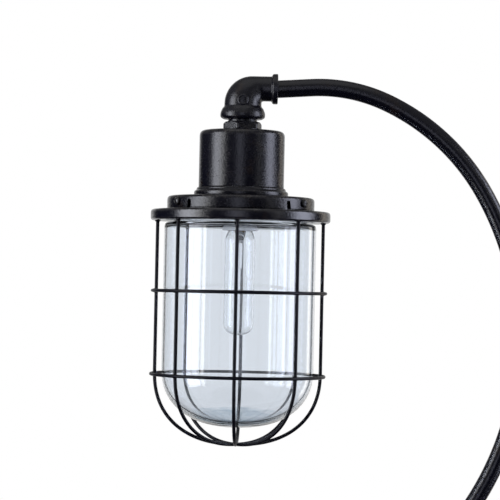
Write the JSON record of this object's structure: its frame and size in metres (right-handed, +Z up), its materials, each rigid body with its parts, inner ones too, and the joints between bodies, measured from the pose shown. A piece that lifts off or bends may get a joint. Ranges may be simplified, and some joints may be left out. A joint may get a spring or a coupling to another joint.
{
  "type": "arc floor lamp",
  "caption": "Floor lamp whose one bent tube rises from a weighted round base and ends in an iron elbow carrying a caged clear jar with a tubular bulb.",
  "frame": {"origin": "centre of the base's underside, on the post's axis, where the lamp rests on the floor", "axes": "+Z up along the post; the tube bends in the XZ plane, bulging towards +X, and the head hangs at -X; the front faces -Y"},
  "size_m": [0.4173, 0.303, 1.6064],
  "materials": {
    "aged_iron": "semi-gloss aged black paint, fine speckle, rubbed edges",
    "rod_steel": "semi-gloss black painted wire",
    "cast_iron": "bare casting",
    "black_screw": "black oxide steel",
    "zinc_steel": "zinc plated",
    "brass": "bright turned brass",
    "porcelain": "glazed pale grey",
    "jar_glass": "clear, faint blue-grey",
    "bulb_glass": "clear",
    "tungsten": "drawn wire",
    "rubber": "matt black",
    "silicone": "translucent grey",
    "lead_sleeve": "black PVC sleeve"
  },
  "bodies": {
    "stand": {"base_pad": "rubber", "base_weight": "cast_iron", "base_cover": "aged_iron", "cord_bushing": "rubber", "floor_flange": "aged_iron", "flange_bolt_1": "black_screw", "flange_bolt_2": "black_screw", "flange_bolt_3": "black_screw", "flange_bolt_4": "black_screw", "lower_post": "aged_iron", "post_coupling": "aged_iron", "upper_post": "aged_iron", "reducing_coupling": "aged_iron", "arc_tube": "aged_iron", "lead_in_stand": "lead_sleeve"},
    "elbow": {"elbow": "aged_iron", "lead_in_elbow": "lead_sleeve"},
    "head": {"hex_bushing": "aged_iron", "threaded_nipple": "zinc_steel", "lock_washer": "zinc_steel", "lock_nut": "brass", "lead_in_head": "lead_sleeve", "socket_bracket": "zinc_steel", "bracket_screw_1": "zinc_steel", "bracket_screw_2": "zinc_steel", "socket_body": "porcelain", "terminal_screw_1": "brass", "terminal_screw_2": "brass", "screw_shell": "brass", "centre_contact": "brass", "socket_cup": "aged_iron", "step_ring": "aged_iron", "glass_collar": "aged_iron"},
    "cage": {"cage_ring": "aged_iron", "glass_gasket": "silicone", "glass_jar": "jar_glass", "cage_rod_1": "rod_steel", "cage_rod_2": "rod_steel", "cage_rod_3": "rod_steel", "cage_rod_4": "rod_steel", "cage_rod_6": "rod_steel", "cage_rod_7": "rod_steel", "cage_rod_8": "rod_steel", "cage_hoop_1": "rod_steel", "cage_hoop_2": "rod_steel"},
    "bulb": {"bulb_cap": "brass", "bulb_contact": "zinc_steel", "bulb_glass": "bulb_glass", "bulb_stem": "bulb_glass", "bulb_filament": "tungsten"},
    "collar_screw_1": {"collar_screw_1": "black_screw"},
    "collar_screw_2": {"collar_screw_2": "black_screw"},
    "collar_screw_3": {"collar_screw_3": "black_screw"}
  },
  "joints": [
    {"name": "elbow_turn", "type": "hinge", "parent": "stand", "child": "elbow", "pos_m": [-0.17028, 0, 1.59], "axis": [1, 0, 0], "range_deg": [-30, 30]},
    {"name": "head_swivel", "type": "hinge", "parent": "elbow", "child": "head", "pos_m": [-0.17028, 0, 1.59], "axis": [0, 0, 1], "range_deg": [-170, 170]},
    {"name": "cage_drop", "type": "slide", "parent": "head", "child": "cage", "axis": [0, 0, -1], "range_m": [0, 0.15]},
    {"name": "bulb_out", "type": "slide", "parent": "head", "child": "bulb", "axis": [0, 0, -1], "range_m": [0, 0.024]},
    {"name": "collar_screw_1_out", "type": "slide", "parent": "head", "child": "collar_screw_1", "axis": [-0.8387, -0.5446, 0], "range_m": [0, 0.004]},
    {"name": "collar_screw_2_out", "type": "slide", "parent": "head", "child": "collar_screw_2", "axis": [0.8387, -0.5446, 0], "range_m": [0, 0.004]},
    {"name": "collar_screw_3_out", "type": "slide", "parent": "head", "child": "collar_screw_3", "axis": [0, 1, 0], "range_m": [0, 0.004]}
  ]
}
